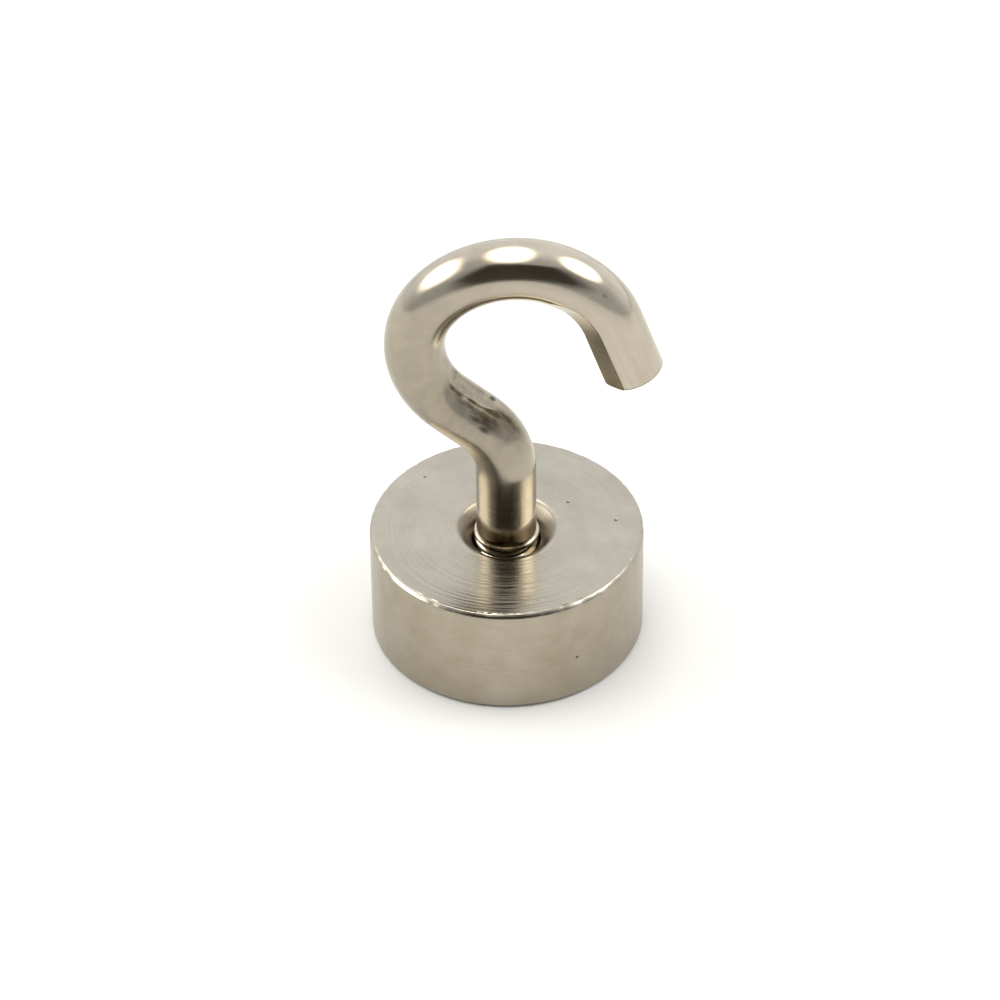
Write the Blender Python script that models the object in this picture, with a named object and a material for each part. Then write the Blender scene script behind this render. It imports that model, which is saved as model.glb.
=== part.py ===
"""Hook pot magnet: a steel cup holding a neodymium disc, with an open wire hook screwed into it.

Frame: metres, +Z up. The origin is the centre of the working face, the flat magnet side of the
cup, and the hook's wire lies in the XZ plane with its mouth towards +X.
"""
import math

import bmesh
import bpy
from mathutils import Matrix, Vector

MM = 0.001

# Cup. A 16 mm pot with its tapped hole and countersink in the roof.
POT_RADIUS = 8.0 * MM
POT_HEIGHT = 7.05 * MM
ROOF_THICKNESS = 3.0 * MM
CUP_INNER_RADIUS = 6.8 * MM
TOP_CHAMFER = 0.25 * MM
FOOT_CHAMFER = 0.15 * MM
BORE_RADIUS = 2.02 * MM
COUNTERSINK_RADIUS = 2.9 * MM

# What the cup holds. Neighbours stay apart by the assembly gap.
ASSEMBLY_GAP = 0.04 * MM
BOND_THICKNESS = 0.12 * MM
MAGNET_RADIUS = 6.25 * MM
MAGNET_CHAMFER = 0.12 * MM
RESIN_RECESS = 0.15 * MM

# Hook. One round wire, M4 x 0.7 rolled on its lower end, bent in one plane.
WIRE_RADIUS = 1.755 * MM
SHANK_LENGTH = 4.50 * MM
NECK_BEND = (4.33 * MM, -50.7)
RISER_LENGTH = 2.10 * MM
LOOP_BENDS = ((5.23 * MM, 85.6), (6.35 * MM, 57.6), (5.37 * MM, 68.0))
TIP_LENGTH = 3.67 * MM
THREAD_PITCH = 0.70 * MM
THREAD_CREST_RADIUS = 1.95 * MM
THREAD_ROOT_RADIUS = 1.57 * MM
THREAD_POINT_RADIUS = 1.45 * MM
THREAD_FLAT = 0.15
RUN_OUT_LENGTH = 0.35 * MM
SHOULDER_DEPTH = 0.25 * MM

# Facets
TURNED_SIDES = 72
WIRE_SIDES = 32
ROWS_PER_PITCH = 8
BEND_STEP = 7.5
SHARP_ANGLE = math.radians(35)

CAVITY_HEIGHT = POT_HEIGHT - ROOF_THICKNESS
MAGNET_TOP = CAVITY_HEIGHT - BOND_THICKNESS - 2 * ASSEMBLY_GAP


def metal(name, color, roughness, metallic=1.0):
    """Principled material of one piece."""
    material = bpy.data.materials.new(name)
    material.use_nodes = True
    shader = material.node_tree.nodes["Principled BSDF"]
    shader.inputs["Base Color"].default_value = (*color, 1.0)
    shader.inputs["Roughness"].default_value = roughness
    shader.inputs["Metallic"].default_value = metallic
    material.diffuse_color = (*color, 1.0)
    return material


def add_piece(name, bm, material):
    """Turn a finished bmesh into a named object with its material, faces pointing out."""
    bmesh.ops.recalc_face_normals(bm, faces=bm.faces)
    mesh = bpy.data.meshes.new(name)
    bm.to_mesh(mesh)
    bm.free()
    mesh.materials.append(material)
    mesh.shade_smooth()
    mesh.set_sharp_from_angle(angle=SHARP_ANGLE)
    piece = bpy.data.objects.new(name, mesh)
    bpy.context.scene.collection.objects.link(piece)
    return piece


def turn(profile):
    """Turn a profile of (radius, height) points once round Z. Points on Z weld into a pole."""
    bm = bmesh.new()
    points = [bm.verts.new((radius, 0.0, height)) for radius, height in profile]
    edges = [bm.edges.new(pair) for pair in zip(points, points[1:])]
    if profile[0][0] > 0.0:
        edges.append(bm.edges.new((points[-1], points[0])))
    bmesh.ops.spin(
        bm, geom=points + edges, cent=(0, 0, 0), axis=(0, 0, 1), angle=math.tau,
        steps=TURNED_SIDES, use_merge=True)
    bmesh.ops.remove_doubles(bm, verts=bm.verts, dist=0.001 * MM)
    return bm


def make_pot():
    """Cup turned from bar: through hole in the roof, countersunk, with broken outer edges."""
    countersink_depth = COUNTERSINK_RADIUS - BORE_RADIUS
    profile = [
        (BORE_RADIUS, CAVITY_HEIGHT),
        (BORE_RADIUS, POT_HEIGHT - countersink_depth),
        (COUNTERSINK_RADIUS, POT_HEIGHT),
        (POT_RADIUS - TOP_CHAMFER, POT_HEIGHT),
        (POT_RADIUS, POT_HEIGHT - TOP_CHAMFER),
        (POT_RADIUS, FOOT_CHAMFER),
        (POT_RADIUS - FOOT_CHAMFER, 0.0),
        (CUP_INNER_RADIUS, 0.0),
        (CUP_INNER_RADIUS, CAVITY_HEIGHT),
    ]
    nickel = metal("nickel_plated_steel", (0.62, 0.60, 0.56), 0.30)
    return add_piece("pot", turn(profile), nickel)


def make_magnet():
    """Pressed and ground disc with broken edges, its pole face level with the cup's rim."""
    profile = [
        (0.0, 0.0),
        (MAGNET_RADIUS - MAGNET_CHAMFER, 0.0),
        (MAGNET_RADIUS, MAGNET_CHAMFER),
        (MAGNET_RADIUS, MAGNET_TOP - MAGNET_CHAMFER),
        (MAGNET_RADIUS - MAGNET_CHAMFER, MAGNET_TOP),
        (0.0, MAGNET_TOP),
    ]
    plated = metal("nickel_plated_magnet", (0.66, 0.65, 0.63), 0.22)
    return add_piece("magnet", turn(profile), plated)


def make_magnet_bond():
    """Film of adhesive between the magnet and the cup's roof."""
    film_bottom = MAGNET_TOP + ASSEMBLY_GAP
    film_radius = MAGNET_RADIUS - MAGNET_CHAMFER
    profile = [
        (0.0, film_bottom),
        (film_radius, film_bottom),
        (film_radius, film_bottom + BOND_THICKNESS),
        (0.0, film_bottom + BOND_THICKNESS),
    ]
    adhesive = metal("adhesive", (0.55, 0.50, 0.38), 0.45, metallic=0.0)
    return add_piece("magnet_bond", turn(profile), adhesive)


def make_resin_ring():
    """Potting resin between the magnet and the cup's wall, a little below the rim."""
    inner = MAGNET_RADIUS + ASSEMBLY_GAP
    outer = CUP_INNER_RADIUS - ASSEMBLY_GAP
    top = CAVITY_HEIGHT - ASSEMBLY_GAP
    profile = [(inner, RESIN_RECESS), (outer, RESIN_RECESS), (outer, top), (inner, top)]
    resin = metal("potting_resin", (0.03, 0.03, 0.035), 0.35, metallic=0.0)
    return add_piece("resin_ring", turn(profile), resin)


def thread_radius(angle, height, point_height, shoulder_height):
    """Radius of a right-hand rolled thread, pointed at its lower end, run out at its upper."""
    phase = (height / THREAD_PITCH - angle / math.tau) % 1.0
    ridge = (1.0 - abs(2.0 * phase - 1.0) - THREAD_FLAT) / (1.0 - 2.0 * THREAD_FLAT)
    ridge = min(max(ridge, 0.0), 1.0)
    radius = THREAD_ROOT_RADIUS + ridge * (THREAD_CREST_RADIUS - THREAD_ROOT_RADIUS)
    run_out = min((shoulder_height - height) / RUN_OUT_LENGTH, 1.0)
    radius = WIRE_RADIUS + run_out * (radius - WIRE_RADIUS)
    return min(radius, THREAD_POINT_RADIUS + height - point_height)


def extrude_ring(bm, ring, offset):
    """Extrude the open end of the wire by an offset and return the new end's edges."""
    result = bmesh.ops.extrude_edge_only(bm, edges=ring)["geom"]
    verts = [item for item in result if isinstance(item, bmesh.types.BMVert)]
    bmesh.ops.translate(bm, verts=verts, vec=offset)
    return [item for item in result if isinstance(item, bmesh.types.BMEdge)
            and all(vert in verts for vert in item.verts)]


def bend_ring(bm, ring, place, heading, radius, degrees):
    """Bend the wire about Y round a centre beside its end. Return the new end and its place."""
    side = 1.0 if degrees > 0.0 else -1.0
    centre = place + Vector((math.cos(heading), 0.0, -math.sin(heading))) * radius * side
    turned = math.radians(degrees)
    result = bmesh.ops.spin(
        bm, geom=ring, cent=centre, axis=(0, 1, 0), angle=turned,
        steps=round(abs(degrees) / BEND_STEP))
    ring = [item for item in result["geom_last"] if isinstance(item, bmesh.types.BMEdge)]
    place = centre + Matrix.Rotation(turned, 3, "Y") @ (place - centre)
    return ring, place, heading + turned


def make_hook():
    """Wire with its thread rolled on, then bent: neck one way, loop the other, end cut square."""
    point_height = CAVITY_HEIGHT + ASSEMBLY_GAP
    shoulder_height = POT_HEIGHT - SHOULDER_DEPTH
    rows = round((shoulder_height - point_height) / THREAD_PITCH * ROWS_PER_PITCH)
    row_height = (shoulder_height - point_height) / rows

    bm = bmesh.new()
    bmesh.ops.create_circle(
        bm, cap_ends=True, segments=WIRE_SIDES, radius=WIRE_RADIUS,
        matrix=Matrix.Translation((0.0, 0.0, point_height)))
    ring = list(bm.edges)
    for _ in range(rows):
        ring = extrude_ring(bm, ring, (0.0, 0.0, row_height))
    for vert in bm.verts:
        angle = math.atan2(vert.co.y, vert.co.x)
        radius = thread_radius(angle, vert.co.z, point_height, shoulder_height)
        vert.co.x = radius * math.cos(angle)
        vert.co.y = radius * math.sin(angle)

    shank_top = POT_HEIGHT + SHANK_LENGTH
    ring = extrude_ring(bm, ring, (0.0, 0.0, shank_top - shoulder_height))
    place = Vector((0.0, 0.0, shank_top))
    ring, place, heading = bend_ring(bm, ring, place, 0.0, *NECK_BEND)
    riser = Vector((math.sin(heading), 0.0, math.cos(heading))) * RISER_LENGTH
    ring = extrude_ring(bm, ring, riser)
    place = place + riser
    for bend in LOOP_BENDS:
        ring, place, heading = bend_ring(bm, ring, place, heading, *bend)
    tip = Vector((math.sin(heading), 0.0, math.cos(heading))) * TIP_LENGTH
    ring = extrude_ring(bm, ring, tip)
    bmesh.ops.contextual_create(bm, geom=ring)

    nickel = metal("nickel_plated_wire", (0.68, 0.65, 0.59), 0.18)
    return add_piece("hook", bm, nickel)


def main():
    for leftover in list(bpy.data.objects):
        bpy.data.objects.remove(leftover, do_unlink=True)
    pot_body = bpy.data.objects.new("pot_body", None)
    hook_turn = bpy.data.objects.new("hook_turn", None)
    for empty in (pot_body, hook_turn):
        bpy.context.scene.collection.objects.link(empty)
    hook_turn.parent = pot_body
    for piece in (make_pot(), make_magnet(), make_magnet_bond(), make_resin_ring()):
        piece.parent = pot_body
    make_hook().parent = hook_turn


main()
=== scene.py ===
import math

import bmesh
import bpy
from mathutils import Matrix, Vector, noise


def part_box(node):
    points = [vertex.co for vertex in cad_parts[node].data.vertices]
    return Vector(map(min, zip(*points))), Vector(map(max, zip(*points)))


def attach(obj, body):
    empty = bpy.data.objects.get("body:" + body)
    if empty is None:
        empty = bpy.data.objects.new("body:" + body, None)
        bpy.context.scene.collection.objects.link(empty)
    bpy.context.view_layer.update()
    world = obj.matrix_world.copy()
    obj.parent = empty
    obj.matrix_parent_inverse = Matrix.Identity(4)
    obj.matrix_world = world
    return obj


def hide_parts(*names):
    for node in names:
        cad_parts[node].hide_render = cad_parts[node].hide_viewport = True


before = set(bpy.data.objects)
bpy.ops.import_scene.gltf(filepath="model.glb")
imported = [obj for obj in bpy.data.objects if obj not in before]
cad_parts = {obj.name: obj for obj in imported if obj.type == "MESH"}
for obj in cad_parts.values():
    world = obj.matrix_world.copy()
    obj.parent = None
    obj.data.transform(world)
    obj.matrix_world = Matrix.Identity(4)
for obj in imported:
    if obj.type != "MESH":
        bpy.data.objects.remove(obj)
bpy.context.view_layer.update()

# ---------------------------------------------------------------------------------------------
# Pot. A cup turned from mild steel bar on a lathe and barrel plated with nickel. Its roof keeps
# the rings of the facing tool, the edges are broken with a file, and the tapped hole in the
# middle is countersunk.

MM = 0.001
POT_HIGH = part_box("pot")[1]
POT_RADIUS = POT_HIGH.x
POT_TOP = POT_HIGH.z
CLEARANCE = 0.04 * MM
RESIN_LOW, RESIN_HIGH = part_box("resin_ring")
CAVITY_RADIUS = RESIN_HIGH.x + CLEARANCE
CAVITY_TOP = RESIN_HIGH.z + CLEARANCE
TAPPED_RADIUS = 2.02 * MM
COUNTERSINK_RADIUS = 2.86 * MM
LIP_ROUND = 0.20 * MM
RIM_CHAMFER = 0.20 * MM
RIM_WAVER = 0.030 * MM
RIM_WAVE_LENGTH = 0.5 * MM
RIM_BAND = 1.4 * RIM_CHAMFER
FOOT_CHAMFER = 0.18 * MM
EDGE_ROUND = 0.05 * MM
FEED_PITCH = 0.27 * MM
FEED_DEPTH = 0.0032 * MM
ROWS_PER_RING = 8
TURNED_SIDES = 288
SHARP_ANGLE = math.radians(25)
SMOOTH_ANGLE = math.radians(38)
WELD_DISTANCE = 0.0002 * MM


def linear(hex_colour):
    """Linear RGBA of an sRGB hex colour."""
    channels = [int(hex_colour[i:i + 2], 16) / 255 for i in (1, 3, 5)]
    return [c / 12.92 if c <= 0.04045 else ((c + 0.055) / 1.055) ** 2.4 for c in channels] + [1.0]


def grey(value):
    """RGBA of a plain number, for a ramp that drives roughness or a mask."""
    return [value, value, value, 1.0]


def add(tree, kind, inputs=(), stops=(), **settings):
    """Add a node, set its properties, set or link its inputs, and lay out a ramp's stops."""
    node = tree.nodes.new(kind)
    for name, value in settings.items():
        setattr(node, name, value)
    for key, value in dict(inputs).items():
        if isinstance(value, bpy.types.NodeSocket):
            tree.links.new(value, node.inputs[key])
        else:
            node.inputs[key].default_value = value
    for index, (position, colour) in enumerate(stops):
        if index > 1:
            node.color_ramp.elements.new(position)
        node.color_ramp.elements[index].position = position
        node.color_ramp.elements[index].color = colour
    return node


def new_material(name):
    """Material with an empty Principled BSDF. Returns it, its tree and the shader node."""
    material = bpy.data.materials.new(name)
    material.use_nodes = True
    return material, material.node_tree, material.node_tree.nodes["Principled BSDF"]


def per_mm(size_mm):
    """Texture scale that makes one feature of a pattern about this many millimetres."""
    return 1.0 / (size_mm * MM)


def source(socket):
    """The output that feeds a linked input."""
    return socket.links[0].from_socket


def plated_nickel(name, light, dark, roughness, cloud_mm):
    """Barrel nickel: a warm grey metal, faintly clouded in tone and in gloss."""
    material, tree, shader = new_material(name)
    place = add(tree, "ShaderNodeTexCoord").outputs["Object"]
    clouds = add(tree, "ShaderNodeTexNoise", {"Vector": place, "Scale": per_mm(cloud_mm),
                 "Detail": 6.0, "Roughness": 0.62}).outputs["Fac"]
    tone = add(tree, "ShaderNodeValToRGB", {"Fac": clouds},
               stops=[(0.32, linear(dark)), (0.68, linear(light))]).outputs["Color"]
    tree.links.new(tone, shader.inputs["Base Color"])
    gloss = add(tree, "ShaderNodeValToRGB", {"Fac": clouds},
                stops=[(0.25, grey(roughness[0])), (0.75, grey(roughness[1]))])
    tree.links.new(gloss.outputs["Color"], shader.inputs["Roughness"])
    shader.inputs["Metallic"].default_value = 1.0
    return material, tree, shader, place


def pinholes(tree, place, specks):
    """Mask of a few pinholes in the plating, each (x, y, z, radius) in millimetres."""
    pitted = 0.0
    for x, y, z, size in specks:
        radius = size * MM
        away = add(tree, "ShaderNodeVectorMath", {0: place, 1: (x * MM, y * MM, z * MM)},
                   operation="DISTANCE")
        spot = add(tree, "ShaderNodeMapRange", {"Value": away.outputs["Value"],
                   "From Min": 0.6 * radius, "From Max": radius, "To Min": 0.8, "To Max": 0.0})
        pitted = add(tree, "ShaderNodeMath", {0: pitted, 1: spot.outputs[0]},
                     operation="MAXIMUM").outputs[0]
    return pitted


def revolve(profile, sides):
    """Spin a profile of (radius, height) points round Z. An open profile starts and ends on Z."""
    bm = bmesh.new()
    points = [bm.verts.new((radius, 0.0, height)) for radius, height in profile]
    edges = [bm.edges.new(pair) for pair in zip(points, points[1:])]
    if profile[0][0] > 0.0:
        edges.append(bm.edges.new((points[-1], points[0])))
    bmesh.ops.spin(bm, geom=points + edges, cent=(0, 0, 0), axis=(0, 0, 1), angle=math.tau,
                   steps=sides, use_merge=True)
    bmesh.ops.remove_doubles(bm, verts=bm.verts, dist=WELD_DISTANCE)
    bmesh.ops.recalc_face_normals(bm, faces=bm.faces)
    return bm


def round_rings(bm, width, segments, inside=math.inf, above=-math.inf):
    """Round every ring where two turned surfaces meet, or only those inside and above a limit."""
    sharp = [edge for edge in bm.edges if edge.calc_face_angle(0.0) > SHARP_ANGLE
             and edge.verts[0].co.xy.length < inside and edge.verts[0].co.z > above]
    bmesh.ops.bevel(bm, geom=sharp, offset=width, offset_type="OFFSET", segments=segments,
                    profile=0.5, affect="EDGES", material=-1, clamp_overlap=True)


def finish_piece(name, bm, materials, body, record_slot):
    """Make the object of a finished bmesh, riding its body and replacing the node of its slot."""
    mesh = bpy.data.meshes.new(name)
    bm.to_mesh(mesh)
    bm.free()
    for material in materials:
        mesh.materials.append(material)
    mesh.shade_smooth()
    mesh.set_sharp_from_angle(angle=SMOOTH_ANGLE)
    piece = bpy.data.objects.new(name, mesh)
    bpy.context.scene.collection.objects.link(piece)
    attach(piece, body)
    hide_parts(record_slot)


def feed_mark(radius):
    """Depth of the facing tool's rings at a radius: one groove a turn, none quite like the next."""
    turn = radius / FEED_PITCH
    strength = 0.60 + 0.40 * math.sin(1.9 * turn) * math.sin(0.83 * turn + 1.0)
    outer = min(max((radius - 0.6 * POT_RADIUS) / (0.3 * POT_RADIUS), 0.0), 1.0)
    depth = FEED_DEPTH * (1.0 + 1.5 * outer)
    return depth * strength * (0.5 + 0.5 * math.cos(math.tau * turn + math.sin(0.7 * turn)))


def pot_profile():
    """Countersink, ringed top face, rim, wall, foot, then the cavity and the tapped hole."""
    top_outer = POT_RADIUS - RIM_CHAMFER
    rings_start = COUNTERSINK_RADIUS + 1.1 * LIP_ROUND
    rows = round((top_outer - rings_start) / FEED_PITCH * ROWS_PER_RING)
    top_face = []
    for row in range(rows):
        radius = rings_start + (top_outer - rings_start) * row / rows
        top_face.append((radius, POT_TOP - feed_mark(radius)))
    return [
        (TAPPED_RADIUS, CAVITY_TOP),
        (TAPPED_RADIUS, POT_TOP - (COUNTERSINK_RADIUS - TAPPED_RADIUS)),
        (COUNTERSINK_RADIUS, POT_TOP),
        *top_face,
        (top_outer, POT_TOP),
        (POT_RADIUS, POT_TOP - RIM_CHAMFER),
        (POT_RADIUS, FOOT_CHAMFER),
        (POT_RADIUS - FOOT_CHAMFER, 0.0),
        (CAVITY_RADIUS, 0.0),
        (CAVITY_RADIUS, CAVITY_TOP),
    ]


def file_rim(bm):
    """Press the rim's chamfer in and out a little on its way round, as a file cuts it by hand."""
    for vert in bm.verts:
        reach = vert.co.xy.length
        if reach > POT_RADIUS - RIM_BAND and vert.co.z > POT_TOP - RIM_BAND:
            cut = RIM_WAVER * max(noise.noise(vert.co.xy.to_3d() / RIM_WAVE_LENGTH) + 0.1, 0.0)
            vert.co.z -= cut
            vert.co.xy *= 1.0 - cut / reach


def turned_nickel(name, light, dark, roughness, axes, ring_tone, ring_dulling, specks):
    """Plated turning: the nickel follows the tool marks that run round the pot's axis.

    The marks are finer than they could show, so they are drawn 0.1 to 0.2 mm apart. The torn
    ones are a little darker and duller than the rest.
    """
    material, tree, shader, place = plated_nickel(name, light, dark, roughness, 2.4)
    flat = add(tree, "ShaderNodeVectorMath", {0: place, 1: axes}, operation="MULTIPLY")
    reach = add(tree, "ShaderNodeVectorMath", {0: flat.outputs[0]}, operation="LENGTH")
    rings = add(tree, "ShaderNodeTexNoise", {"W": reach.outputs["Value"], "Scale": per_mm(0.20),
                "Detail": 3.0, "Roughness": 0.75}, noise_dimensions="1D").outputs["Fac"]
    shade = add(tree, "ShaderNodeValToRGB", {"Fac": rings},
                stops=[(0.35, grey(ring_tone)), (0.60, grey(1.0))])
    ringed = add(tree, "ShaderNodeMix", {"Factor": 1.0, "A": source(shader.inputs["Base Color"]),
                 "B": shade.outputs["Color"]}, data_type="RGBA", blend_type="MULTIPLY")
    pitted = pinholes(tree, place, specks)
    colour = add(tree, "ShaderNodeMix", {"Factor": pitted, "A": ringed.outputs["Result"],
                 "B": linear("#3B342C")}, data_type="RGBA")
    tree.links.new(colour.outputs["Result"], shader.inputs["Base Color"])
    torn = add(tree, "ShaderNodeMapRange", {"Value": rings, "From Min": 0.40, "From Max": 0.62,
               "To Min": ring_dulling, "To Max": 0.0})
    dulled = add(tree, "ShaderNodeMath", {0: source(shader.inputs["Roughness"]),
                 1: torn.outputs[0]}, operation="ADD")
    tree.links.new(dulled.outputs[0], shader.inputs["Roughness"])
    marks = add(tree, "ShaderNodeTexNoise", {"W": reach.outputs["Value"], "Scale": per_mm(0.12),
                "Detail": 3.0, "Roughness": 0.7}, noise_dimensions="1D")
    raised = add(tree, "ShaderNodeBump", {"Height": marks.outputs["Fac"], "Strength": 1.0,
                 "Distance": 0.002 * MM})
    sunk = add(tree, "ShaderNodeBump", {"Height": pitted, "Strength": 1.0,
               "Distance": 0.02 * MM, "Normal": raised.outputs[0]}, invert=True)
    tree.links.new(sunk.outputs[0], shader.inputs["Normal"])
    return material


ROOF_SPECKS = ((3.46, 2.35, 7.05, 0.13), (6.35, 0.87, 7.05, 0.13), (-5.1, 4.2, 7.05, 0.10))
WALL_SPECKS = ((4.47, -6.64, 2.95, 0.12), (7.96, -0.78, 5.08, 0.15), (-6.3, 4.93, 4.1, 0.12),
               (2.9, 7.46, 2.2, 0.10))
ACROSS_AXIS = (1, 1, 0)
ALONG_AXIS = (0, 0, 1)
faced_top = turned_nickel("faced_nickel", "#A9A498", "#9F998C", (0.11, 0.16), ACROSS_AXIS,
                          0.90, 0.15, ROOF_SPECKS)
turned_wall = turned_nickel("turned_nickel_wall", "#AFA697", "#A09683", (0.26, 0.36), ALONG_AXIS,
                            0.95, 0.0, WALL_SPECKS)
countersunk = turned_nickel("countersunk_nickel", "#968D7E", "#7D7363", (0.26, 0.38), ALONG_AXIS,
                            0.90, 0.0, ())

# The finest facing marks blur the top's gloss across them: it stays crisper along the rings.
top_shader = faced_top.node_tree.nodes["Principled BSDF"]
top_shader.inputs["Anisotropic"].default_value = 0.35
round_axis = add(faced_top.node_tree, "ShaderNodeTangent", direction_type="RADIAL", axis="Z")
faced_top.node_tree.links.new(round_axis.outputs[0], top_shader.inputs["Tangent"])

bm = revolve(pot_profile(), TURNED_SIDES)
round_rings(bm, LIP_ROUND, 6, above=POT_TOP - EDGE_ROUND, inside=COUNTERSINK_RADIUS + EDGE_ROUND)
round_rings(bm, EDGE_ROUND, 3)
file_rim(bm)
for face in bm.faces:
    middle = face.calc_center_median()
    if middle.xy.length < COUNTERSINK_RADIUS:
        face.material_index = 2
    elif face.normal.z < 0.5 or middle.z < 0.5 * POT_TOP:
        face.material_index = 1
finish_piece("plated_pot", bm, [faced_top, turned_wall, countersunk], "pot_body", "pot")

# ---------------------------------------------------------------------------------------------
# Magnet. A disc of sintered neodymium, pressed, ground flat on both faces, tumbled so that its
# edge is round, and plated with nickel. It sits in the cup with its pole face level with the rim.

MAGNET_LOW, MAGNET_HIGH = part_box("magnet")
MAGNET_RADIUS = MAGNET_HIGH.x
MAGNET_EDGE = 0.18 * MM


def ground_nickel():
    """Nickel over a ground face: straight fine scratches in one direction, and a soft gloss."""
    material, tree, shader, place = plated_nickel(
        "ground_nickel", "#D0CCC4", "#BDB8AF", (0.18, 0.30), 3.0)
    lines = add(tree, "ShaderNodeMapping", {"Vector": place, "Scale": (1.0, 0.02, 1.0),
                "Rotation": (0.0, 0.0, math.radians(24))})
    grit = add(tree, "ShaderNodeTexNoise", {"Vector": lines.outputs[0], "Scale": per_mm(0.08),
               "Detail": 4.0})
    cut = add(tree, "ShaderNodeBump", {"Height": grit.outputs["Fac"], "Strength": 1.0,
              "Distance": 0.0012 * MM})
    tree.links.new(cut.outputs[0], shader.inputs["Normal"])
    return material


bm = revolve([(0.0, MAGNET_LOW.z), (MAGNET_RADIUS, MAGNET_LOW.z), (MAGNET_RADIUS, MAGNET_HIGH.z),
              (0.0, MAGNET_HIGH.z)], TURNED_SIDES // 2)
round_rings(bm, MAGNET_EDGE, 5)
finish_piece("plated_magnet", bm, [ground_nickel()], "pot_body", "magnet")

# ---------------------------------------------------------------------------------------------
# Bond and resin. Adhesive holds the magnet against the roof, and black potting resin, poured
# between the magnet and the wall, cures with a hollow surface that climbs both metals.

RESIN_HOLLOW = 0.10 * MM
HOLLOW_STEPS = 8


def cured_resin():
    """Filled epoxy: nearly black, glossy where it was poured, with grains of filler in it."""
    material, tree, shader = new_material("cured_resin")
    place = add(tree, "ShaderNodeTexCoord").outputs["Object"]
    filler = add(tree, "ShaderNodeTexNoise", {"Vector": place, "Scale": per_mm(0.15),
                 "Detail": 3.0}).outputs["Fac"]
    tone = add(tree, "ShaderNodeValToRGB", {"Fac": filler},
               stops=[(0.4, linear("#17171A")), (0.75, linear("#2E2D2C"))])
    tree.links.new(tone.outputs["Color"], shader.inputs["Base Color"])
    gloss = add(tree, "ShaderNodeValToRGB", {"Fac": filler},
                stops=[(0.3, grey(0.22)), (0.8, grey(0.42))])
    tree.links.new(gloss.outputs["Color"], shader.inputs["Roughness"])
    dimple = add(tree, "ShaderNodeBump", {"Height": filler, "Strength": 0.6,
                 "Distance": 0.02 * MM})
    tree.links.new(dimple.outputs[0], shader.inputs["Normal"])
    return material


def cured_adhesive():
    """Amber adhesive, squeezed thin and cloudy."""
    material, tree, shader = new_material("cured_adhesive")
    place = add(tree, "ShaderNodeTexCoord").outputs["Object"]
    cloud = add(tree, "ShaderNodeTexNoise", {"Vector": place, "Scale": per_mm(1.5)})
    tone = add(tree, "ShaderNodeValToRGB", {"Fac": cloud.outputs["Fac"]},
               stops=[(0.35, linear("#A89468")), (0.7, linear("#C4B48C"))])
    tree.links.new(tone.outputs["Color"], shader.inputs["Base Color"])
    shader.inputs["Roughness"].default_value = 0.45
    return material


def resin_profile():
    """Ring section: square against the roof, hollow on the poured face at the bottom."""
    inner = MAGNET_RADIUS + CLEARANCE
    outer = RESIN_HIGH.x
    points = [(outer, RESIN_HIGH.z), (inner, RESIN_HIGH.z)]
    for step in range(HOLLOW_STEPS + 1):
        across = step / HOLLOW_STEPS
        rise = RESIN_HOLLOW * (1.0 - (2.0 * across - 1.0) ** 2)
        points.append((inner + (outer - inner) * across, RESIN_LOW.z + rise))
    return points


bm = revolve(resin_profile(), TURNED_SIDES // 2)
finish_piece("poured_resin", bm, [cured_resin()], "pot_body", "resin_ring")
adhesive = cured_adhesive()
for material_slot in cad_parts["magnet_bond"].material_slots:
    material_slot.material = adhesive

# ---------------------------------------------------------------------------------------------
# Hook. One length of steel wire. Its thread is rolled on while it is straight, then the neck and
# the loop are bent cold round pins, the end is sheared off, and the whole is nickel plated. The
# tools leave a pressed flat inside the neck, a longer one inside the end, and small dents.

WIRE_RADIUS = 1.755 * MM
WIRE_SIDES = 160
SHANK_LENGTH = 4.50 * MM
NECK_BEND = (4.33 * MM, -50.7)
RISER_LENGTH = 2.10 * MM
LOOP_BENDS = ((5.23 * MM, 85.6), (6.35 * MM, 57.6), (5.37 * MM, 68.0))
TIP_LENGTH = 3.67 * MM
BEND_ROW = 0.12 * MM
END_ROUND = 0.16 * MM
THREAD_PITCH = 0.70 * MM
THREAD_ROW = 0.035 * MM
THREAD_TURN = 0.20
THREAD_FLAT = 0.15
THREAD_CREST_RADIUS = 1.88 * MM
THREAD_ROOT_RADIUS = 1.57 * MM
THREAD_POINT_RADIUS = 1.45 * MM
THREAD_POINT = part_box("hook")[0].z - POT_TOP
COLLAR_HEIGHT = -0.30 * MM
COLLAR_RADIUS = 1.93 * MM
COLLAR_HALF = 0.17 * MM
COLLAR_GAP = 0.30 * MM
THREAD_TOP = COLLAR_HEIGHT - COLLAR_HALF
GRIP_START = 7.0 * MM
GRIP_END = 31.0 * MM
GRIP_RUB = 0.46
FLAT_FADE = 1.0 * MM
FLAT_EDGE = 0.02 * MM


def hook_stages():
    """The wire's stages from the pot's top face on: (length, turn in radians), 0 if straight."""
    bends = [(radius * math.radians(abs(degrees)), math.radians(degrees))
             for radius, degrees in (NECK_BEND, *LOOP_BENDS)]
    return [(SHANK_LENGTH, 0.0), bends[0], (RISER_LENGTH, 0.0), *bends[1:], (TIP_LENGTH, 0.0)]


STAGES = hook_stages()
WIRE_LENGTH = sum(length for length, turned in STAGES)


def wire_place(distance):
    """Centre and heading of the bent wire at a distance along it from the pot's top face."""
    place = Vector((0.0, 0.0, POT_TOP))
    heading = 0.0
    if distance <= 0.0:
        return place + Vector((0.0, 0.0, distance)), heading
    for length, turned in STAGES:
        run = min(distance, length)
        part = turned * run / length
        chord = 2.0 * (length / turned) * math.sin(part / 2.0) if turned else run
        middle = heading + part / 2.0
        place = place + Vector((math.sin(middle), 0.0, math.cos(middle))) * chord
        heading += part
        distance -= run
        if distance <= 0.0:
            break
    return place, heading


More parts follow.
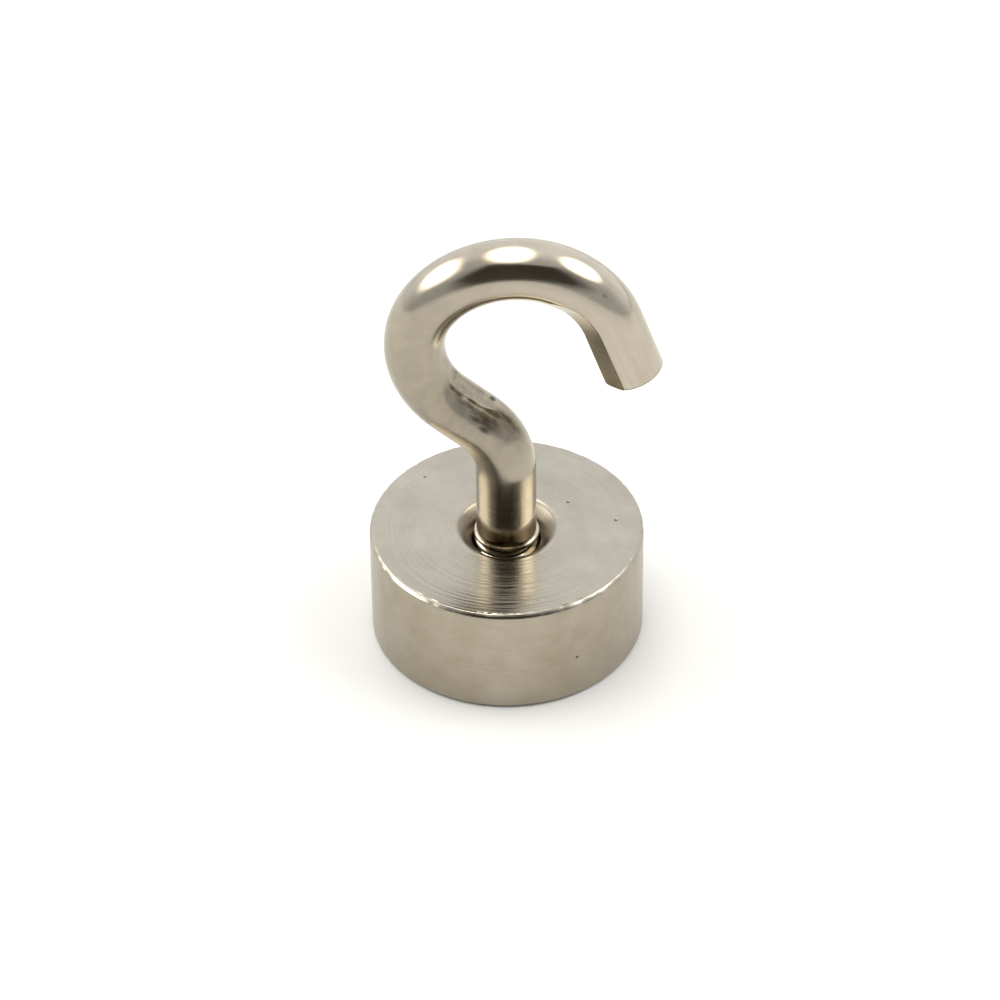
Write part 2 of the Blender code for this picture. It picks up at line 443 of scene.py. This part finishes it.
def wire_rows():
    """Distances of the wire's rows: close on the thread, even along the bends."""
    count = round((COLLAR_HEIGHT + 2.0 * COLLAR_HALF - THREAD_POINT) / THREAD_ROW)
    rows = [THREAD_POINT + row * THREAD_ROW for row in range(count + 1)]
    count = round((WIRE_LENGTH - rows[-1]) / BEND_ROW)
    step = (WIRE_LENGTH - rows[-1]) / count
    return rows + [rows[-1] + step * (row + 1) for row in range(count)]


def thread_radius(angle, height):
    """Right-hand rolled thread, pointed below, under the collar that the dies pushed up."""
    phase = (height / THREAD_PITCH - angle / math.tau + THREAD_TURN) % 1.0
    ridge = (1.0 - abs(2.0 * phase - 1.0) - THREAD_FLAT) / (1.0 - 2.0 * THREAD_FLAT)
    ridge = min(max(ridge, 0.0), 1.0)
    ridge = ridge * ridge * (3.0 - 2.0 * ridge)
    radius = THREAD_ROOT_RADIUS + ridge * (THREAD_CREST_RADIUS - THREAD_ROOT_RADIUS)
    neck = min(max((THREAD_TOP - height) / COLLAR_GAP, 0.0), 1.0)
    radius = THREAD_ROOT_RADIUS + neck * (radius - THREAD_ROOT_RADIUS)
    if height > THREAD_TOP:
        radius = WIRE_RADIUS
    offset = min(abs(height - COLLAR_HEIGHT) / COLLAR_HALF, 1.0)
    bead = WIRE_RADIUS + (COLLAR_RADIUS - WIRE_RADIUS) * math.sqrt(1.0 - offset * offset)
    radius = max(radius, bead) if offset < 1.0 else radius
    return min(radius, THREAD_POINT_RADIUS + height - THREAD_POINT)


def straight_wire():
    """The wire before bending, up Z, with its thread rolled on and its end closed and rounded."""
    bm = bmesh.new()
    rows = wire_rows()
    bmesh.ops.create_circle(bm, cap_ends=True, segments=WIRE_SIDES, radius=WIRE_RADIUS,
                            matrix=Matrix.Translation((0.0, 0.0, rows[0])))
    ring = list(bm.edges)
    for below, above in zip(rows, rows[1:]):
        made = bmesh.ops.extrude_edge_only(bm, edges=ring)["geom"]
        verts = [item for item in made if isinstance(item, bmesh.types.BMVert)]
        bmesh.ops.translate(bm, verts=verts, vec=(0.0, 0.0, above - below))
        fresh = set(verts)
        ring = [item for item in made if isinstance(item, bmesh.types.BMEdge)
                and item.verts[0] in fresh and item.verts[1] in fresh]
    end = bmesh.ops.contextual_create(bm, geom=ring)["faces"]
    bmesh.ops.bevel(bm, geom=end[0].edges[:], offset=END_ROUND, offset_type="OFFSET", segments=5,
                    profile=0.5, affect="EDGES", material=-1, clamp_overlap=False)
    for vert in bm.verts:
        if vert.co.z < 0.0:
            angle = math.atan2(vert.co.y, vert.co.x)
            radius = thread_radius(angle, vert.co.z)
            vert.co.x = radius * math.cos(angle)
            vert.co.y = radius * math.sin(angle)
    bmesh.ops.recalc_face_normals(bm, faces=bm.faces)
    return bm


def press_flat(bm, rub_and_painted_reflection, start, full, end, angle_deg, depth, darkening):
    """Flatten one side of the straight wire from start to end, at full depth past full."""
    angle = math.radians(angle_deg)
    side = Vector((math.cos(angle), math.sin(angle), 0.0))
    for vert in bm.verts:
        if start < vert.co.z < end + FLAT_FADE:
            rise = min((vert.co.z - start) / (full - start), 1.0)
            fall = min((end + FLAT_FADE - vert.co.z) / FLAT_FADE, 1.0)
            excess = vert.co.dot(side) - (WIRE_RADIUS - depth * rise * fall)
            if excess > 0.0:
                vert.co -= side * excess
                vert[rub_and_painted_reflection] = max(vert[rub_and_painted_reflection], darkening * min(excess / FLAT_EDGE, 1.0))


def handle(bm, rub_and_painted_reflection):
    """Dull the wire where the dies gripped it: not the shank, most the neck, less to the end."""
    for vert in bm.verts:
        beyond = min(max((vert.co.z - GRIP_START) / (GRIP_END - GRIP_START), 0.0), 1.0)
        near = min(max(vert.co.z / GRIP_START, 0.0), 1.0)
        vert[rub_and_painted_reflection] = GRIP_RUB * (1.0 - beyond) * near * near


def dent(bm, rub_and_painted_reflection, place, angle_deg, half_length, half_width, depth, darkening):
    """Sink a small round-bottomed dent into the straight wire and darken it."""
    angle = math.radians(angle_deg)
    side = Vector((math.cos(angle), math.sin(angle), 0.0))
    across = Vector((-side.y, side.x, 0.0))
    for vert in bm.verts:
        along = (vert.co.z - place) / half_length
        if abs(along) < 1.0 and vert.co.dot(side) > 0.0:
            away = along * along + (vert.co.dot(across) / half_width) ** 2
            if away < 1.0:
                sink = (1.0 - away) ** 2
                vert.co -= side * depth * sink
                vert[rub_and_painted_reflection] = max(vert[rub_and_painted_reflection], darkening * sink ** 0.5)


def bend_wire(bm, drawn):
    """Carry the straight wire onto its bent centreline, noting where each point was."""
    for vert in bm.verts:
        vert[drawn] = vert.co.copy()
        place, heading = wire_place(vert.co.z)
        inward = Vector((math.cos(heading), 0.0, -math.sin(heading)))
        vert.co = place + inward * vert.co.x + Vector((0.0, vert.co.y, 0.0))


def drawn_nickel():
    """Nickel over cold drawn wire: bright, faint lines along it, brown where marked: tool wear and
    dirt, and painted dark reflection at the seat.
    """
    material, tree, shader = new_material("drawn_nickel")
    drawn = add(tree, "ShaderNodeAttribute", attribute_name="drawn").outputs["Vector"]
    darkening = add(tree, "ShaderNodeAttribute", attribute_name="rub_and_painted_reflection").outputs["Fac"]
    place = add(tree, "ShaderNodeTexCoord").outputs["Object"]
    clouds = add(tree, "ShaderNodeTexNoise", {"Vector": place, "Scale": per_mm(2.2),
                 "Detail": 6.0, "Roughness": 0.62}).outputs["Fac"]
    stretched = add(tree, "ShaderNodeVectorMath", {0: drawn, 1: (1.0, 1.0, 0.06)},
                    operation="MULTIPLY").outputs[0]
    lines = add(tree, "ShaderNodeTexNoise", {"Vector": stretched, "Scale": per_mm(0.35),
                "Detail": 4.0, "Roughness": 0.6}).outputs["Fac"]
    blend = add(tree, "ShaderNodeMath", {0: clouds, 1: lines}, operation="ADD")
    half = add(tree, "ShaderNodeMath", {0: blend.outputs[0], 1: 0.5}, operation="MULTIPLY")
    tone = add(tree, "ShaderNodeValToRGB", {"Fac": half.outputs[0]},
               stops=[(0.38, linear("#B0A797")), (0.62, linear("#BDB5A6"))])
    streaks = add(tree, "ShaderNodeMath", {0: lines, 1: 1.2, 2: 0.4}, operation="MULTIPLY_ADD")
    # The rub mask holds the tools' wear and dirt, and also the painted dark reflection at the seat;
    # it mixes in the brown.
    smear_and_painted_reflection = add(tree, "ShaderNodeMath", {0: darkening, 1: streaks.outputs[0]}, operation="MULTIPLY",
                  use_clamp=True)
    mottle = add(tree, "ShaderNodeTexNoise", {"Vector": place, "Scale": per_mm(0.7),
                "Detail": 4.0, "Roughness": 0.65}).outputs["Fac"]
    brown = add(tree, "ShaderNodeValToRGB", {"Fac": mottle},
                stops=[(0.42, linear("#41382E")), (0.60, linear("#6F6349"))])
    colour = add(tree, "ShaderNodeMix", {"Factor": smear_and_painted_reflection.outputs[0], "A": tone.outputs["Color"],
                 "B": brown.outputs["Color"]}, data_type="RGBA")
    tree.links.new(colour.outputs["Result"], shader.inputs["Base Color"])
    gloss = add(tree, "ShaderNodeValToRGB", {"Fac": half.outputs[0]},
                stops=[(0.3, grey(0.09)), (0.7, grey(0.16))])
    dulled = add(tree, "ShaderNodeMath", {0: darkening, 1: 0.12, 2: gloss.outputs["Color"]},
                 operation="MULTIPLY_ADD")
    tree.links.new(dulled.outputs[0], shader.inputs["Roughness"])
    raised = add(tree, "ShaderNodeBump", {"Height": lines, "Strength": 1.0,
                 "Distance": 0.003 * MM})
    tree.links.new(raised.outputs[0], shader.inputs["Normal"])
    shader.inputs["Metallic"].default_value = 1.0
    return material


# Marks: place on the straight wire and angle round it in degrees, half length, half width, depth,
# and how dark it is made. Lengths are in millimetres, and a mark without depth only darkens: dirt
# on the neck, painted dark reflection at the seat.
CREASE_BESIDE_FLAT = (
    (11.8, 327, 0.7, 0.18, 0.018, 0.9), (10.8, 327, 0.8, 0.17, 0.020, 1.0),
    (9.7, 330, 0.9, 0.20, 0.010, 1.2), (8.5, 333, 0.8, 0.22, 0.008, 1.0),
)
NECK_DENTS = (
    (8.65, 6, 0.26, 0.25, 0.045, 1.4), (9.9, 316, 0.45, 0.20, 0.030, 0.7),
    (9.4, 305, 0.50, 0.22, 0.035, 0.8), (8.45, 298, 0.50, 0.24, 0.030, 1.0),
    (7.75, 322, 0.60, 0.35, 0.030, 0.6), (8.9, 312, 0.30, 0.15, 0.020, 0.5),
)
NECK_DIRT = (
    (14.5, 10, 3.2, 1.30, 0.000, 0.7), (10.2, 322, 1.7, 0.55, 0.000, 0.8),
    (8.6, 318, 1.7, 0.85, 0.000, 1.0), (7.6, 340, 1.8, 0.90, 0.000, 0.9),
)
# Painted dark reflection: depthless darkened patches at the foot of the shank, on its front towards
# the camera, standing in for the reflected unlit side of the room.
SEAT_PAINTED_REFLECTION = (
    (-0.40, 270, 0.80, 1.55, 0.000, 2.6), (0.50, 268, 1.10, 1.15, 0.000, 1.1),
    (-0.85, 335, 0.50, 0.95, 0.000, 2.0),
)
END_DENTS = ((28.6, 227, 0.15, 0.12, 0.020, 0.7), (34.1, 164, 0.20, 0.25, 0.050, 0.6))

bm = straight_wire()
drawn = bm.verts.layers.float_vector.new("drawn")
# Rub mask: wear from the tools and dirt, and also painted dark reflection at the seat.
rub_and_painted_reflection = bm.verts.layers.float.new("rub_and_painted_reflection")
handle(bm, rub_and_painted_reflection)
press_flat(bm, rub_and_painted_reflection, 8.2 * MM, 9.4 * MM, 12.0 * MM, 351, 0.11 * MM, 0.55)
# The flat inside the end is pressed and also made darker along its length with the brown mix.
press_flat(bm, rub_and_painted_reflection, 26.2 * MM, 28.2 * MM, 40.0 * MM, 313, 0.19 * MM, 0.24)
for mark in CREASE_BESIDE_FLAT + NECK_DENTS + NECK_DIRT + SEAT_PAINTED_REFLECTION + END_DENTS:
    distance, angle_deg, half_length, half_width, depth, darkening = mark
    dent(bm, rub_and_painted_reflection, distance * MM, angle_deg, half_length * MM, half_width * MM, depth * MM, darkening)
bend_wire(bm, drawn)
finish_piece("plated_hook", bm, [drawn_nickel()], "hook_body", "hook")

# ---------------------------------------------------------------------------------------------
# Studio. The magnet stands on a white sheet in a white room, with a soft lamp on each side and
# one above. The unlit side of the room, where the camera is, shows only in the polished metal.

CAMERA_DISTANCE = 288.0 * MM
CAMERA_AZIMUTH = 4.11
CAMERA_ELEVATION = 40.28
CAMERA_ROLL = -0.66
CAMERA_RIGHT = 0.446 * MM
CAMERA_UP = -6.89 * MM
CAMERA_LENS = 174.8
CAMERA_SENSOR = 36.0
HOOK_MIDDLE = Vector((0.0, 0.0, 18.0 * MM))
LAMP_DISTANCE = 350.0 * MM
UNLIT_DISTANCE = 150.0 * MM
UNLIT_AZIMUTHS = (-56.0, 66.0)
UNLIT_ELEVATIONS = (-12.0, 57.0)
UNLIT_NARROWS_BELOW = 22.0
FLOOR_HALF = 0.5
FLOOR_DROP = 0.02 * MM


def direction(azimuth, elevation):
    """Unit vector: azimuth from the viewer's side towards +X, elevation above the floor."""
    turn, rise = math.radians(azimuth), math.radians(elevation)
    return Vector((math.sin(turn) * math.cos(rise), -math.cos(turn) * math.cos(rise),
                   math.sin(rise)))


def aim_camera():
    """Camera on its viewing direction, then moved sideways and up to frame the magnet."""
    back = direction(CAMERA_AZIMUTH, CAMERA_ELEVATION)
    side = Vector((0.0, 0.0, 1.0)).cross(back).normalized()
    roll = Matrix.Rotation(math.radians(CAMERA_ROLL), 3, back)
    side, upward = roll @ side, roll @ back.cross(side)
    camera = bpy.data.objects.new("camera", bpy.data.cameras.new("camera"))
    camera.data.lens = CAMERA_LENS
    camera.data.sensor_width = CAMERA_SENSOR
    camera.data.clip_start = 1.0 * MM
    camera.data.clip_end = 5.0
    place = back * CAMERA_DISTANCE - side * CAMERA_RIGHT - upward * CAMERA_UP
    axes = Matrix((side, upward, back)).transposed().to_4x4()
    camera.matrix_world = Matrix.Translation(place) @ axes
    bpy.context.scene.collection.objects.link(camera)
    bpy.context.scene.camera = camera


def stage_sheet(name, bm, material):
    """Link a piece of the studio, which is no part of the magnet."""
    mesh = bpy.data.meshes.new(name)
    bm.to_mesh(mesh)
    bm.free()
    mesh.materials.append(material)
    sheet = bpy.data.objects.new(name, mesh)
    bpy.context.scene.collection.objects.link(sheet)
    return sheet


def matt(name, hex_colour):
    """Plain matt card or cloth."""
    material, tree, shader = new_material(name)
    shader.inputs["Base Color"].default_value = linear(hex_colour)
    shader.inputs["Roughness"].default_value = 0.9
    return material


def soft_lamp(name, away, upward, spread, radiance):
    """Oval diffuser lit from behind, facing the hook, (across, up) degrees from middle to edge.

    Its cloth is white and brightest in the middle, and dimmer and warmer towards the edge.
    """
    away = away.normalized()
    across = upward.cross(away).normalized()
    width, height = (2 * LAMP_DISTANCE * math.tan(math.radians(angle)) for angle in spread)
    lamp = bpy.data.objects.new(name, bpy.data.lights.new(name, "AREA"))
    lamp.data.shape = "ELLIPSE"
    lamp.data.size = width
    lamp.data.size_y = height
    lamp.data.energy = radiance * math.pi * math.pi / 4 * width * height
    lamp.data.use_nodes = True
    tree = lamp.data.node_tree
    place = add(tree, "ShaderNodeNewGeometry").outputs["Parametric"]
    middle = add(tree, "ShaderNodeVectorMath", {0: place, 1: (0.5, 0.5, 0.0)}, operation="SUBTRACT")
    flat = add(tree, "ShaderNodeVectorMath", {0: middle.outputs[0], 1: (2.0, 2.0, 0.0)},
               operation="MULTIPLY")
    reach = add(tree, "ShaderNodeVectorMath", {0: flat.outputs[0]}, operation="LENGTH")
    glow = add(tree, "ShaderNodeMapRange", {"Value": reach.outputs["Value"], "From Min": 0.45,
               "From Max": 1.0, "To Min": 1.0, "To Max": 0.0}, interpolation_type="SMOOTHSTEP")
    tint = add(tree, "ShaderNodeValToRGB", {"Fac": reach.outputs["Value"]},
               stops=[(0.5, (1.0, 0.985, 0.96, 1.0)), (0.95, (1.0, 0.90, 0.72, 1.0))])
    tree.links.new(tint.outputs["Color"], tree.nodes["Emission"].inputs["Color"])
    tree.links.new(glow.outputs[0], tree.nodes["Emission"].inputs["Strength"])
    axes = Matrix((across, away.cross(across), away)).transposed().to_4x4()
    lamp.matrix_world = Matrix.Translation(HOOK_MIDDLE + away * LAMP_DISTANCE) @ axes
    bpy.context.scene.collection.objects.link(lamp)


def unlit_side():
    """The unlit side of the room round the camera: narrower low down, fading out at its edges."""
    bm = bmesh.new()
    bmesh.ops.create_grid(bm, x_segments=60, y_segments=36, size=0.5)
    cover = bm.verts.layers.float.new("cover")
    for vert in bm.verts:
        azimuth = UNLIT_AZIMUTHS[0] + (vert.co.x + 0.5) * (UNLIT_AZIMUTHS[1] - UNLIT_AZIMUTHS[0])
        elevation = (UNLIT_ELEVATIONS[0]
                     + (vert.co.y + 0.5) * (UNLIT_ELEVATIONS[1] - UNLIT_ELEVATIONS[0]))
        narrowed = max(UNLIT_NARROWS_BELOW - elevation, 0.0)
        left = (azimuth + 50.0 - 0.9 * narrowed) / 18.0
        right = (62.0 - azimuth - 1.9 * narrowed) / 34.0
        below = (elevation - UNLIT_ELEVATIONS[0]) / 16.0
        above = (UNLIT_ELEVATIONS[1] - elevation) / 3.0
        edge = min(max(min(left, right, below, above), 0.0), 1.0)
        vert[cover] = edge * edge * (3.0 - 2.0 * edge)
        vert.co = HOOK_MIDDLE + direction(azimuth, elevation) * UNLIT_DISTANCE
    material = matt("unlit_room", "#37322C")
    tree = material.node_tree
    covered = add(tree, "ShaderNodeAttribute", attribute_name="cover").outputs["Fac"]
    tree.links.new(covered, tree.nodes["Principled BSDF"].inputs["Alpha"])
    shield = stage_sheet("unlit_side", bm, material)
    shield.visible_camera = False
    shield.visible_diffuse = False
    shield.visible_shadow = False


def room_light(tree):
    """Strength of the white room: brightest behind the magnet, fair overhead, dim in front."""
    way = add(tree, "ShaderNodeTexCoord").outputs["Generated"]
    axes = add(tree, "ShaderNodeSeparateXYZ", {0: way}).outputs
    behind = add(tree, "ShaderNodeMapRange", {"Value": axes["Y"], "From Min": -0.5,
                 "From Max": 0.75, "To Min": 0.66, "To Max": 1.42}, interpolation_type="SMOOTHSTEP")
    above = add(tree, "ShaderNodeMapRange", {"Value": axes["Z"], "From Min": 0.5,
                "From Max": 1.0, "To Min": 0.0, "To Max": 0.05}, interpolation_type="SMOOTHSTEP")
    total = add(tree, "ShaderNodeMath", {0: behind.outputs[0], 1: above.outputs[0]},
                operation="ADD")
    return total.outputs[0]


aim_camera()
bm = bmesh.new()
bmesh.ops.create_grid(bm, x_segments=1, y_segments=1, size=FLOOR_HALF,
                      matrix=Matrix.Translation((0.0, 0.0, -FLOOR_DROP)))
stage_sheet("floor", bm, matt("white_sheet", "#C9C9C7"))
unlit_side()

UPRIGHT = Vector((0.0, 0.0, 1.0))
soft_lamp("left_lamp", direction(-94, 31), UPRIGHT, (36, 20), 4.0)
soft_lamp("right_lamp", direction(95, 47), UPRIGHT, (30, 20), 5.2)
soft_lamp("top_lamp", Vector((-0.17, 0.06, 0.98)), Vector((0.0, 1.0, 0.0)), (20, 38), 4.4)

world = bpy.data.worlds.new("white_room")
world.use_nodes = True
sky = world.node_tree.nodes["Background"]
sky.inputs["Color"].default_value = (0.97, 0.985, 1.0, 1.0)
world.node_tree.links.new(room_light(world.node_tree), sky.inputs["Strength"])
bpy.context.scene.world = world
bpy.context.scene.view_settings.view_transform = "Standard"
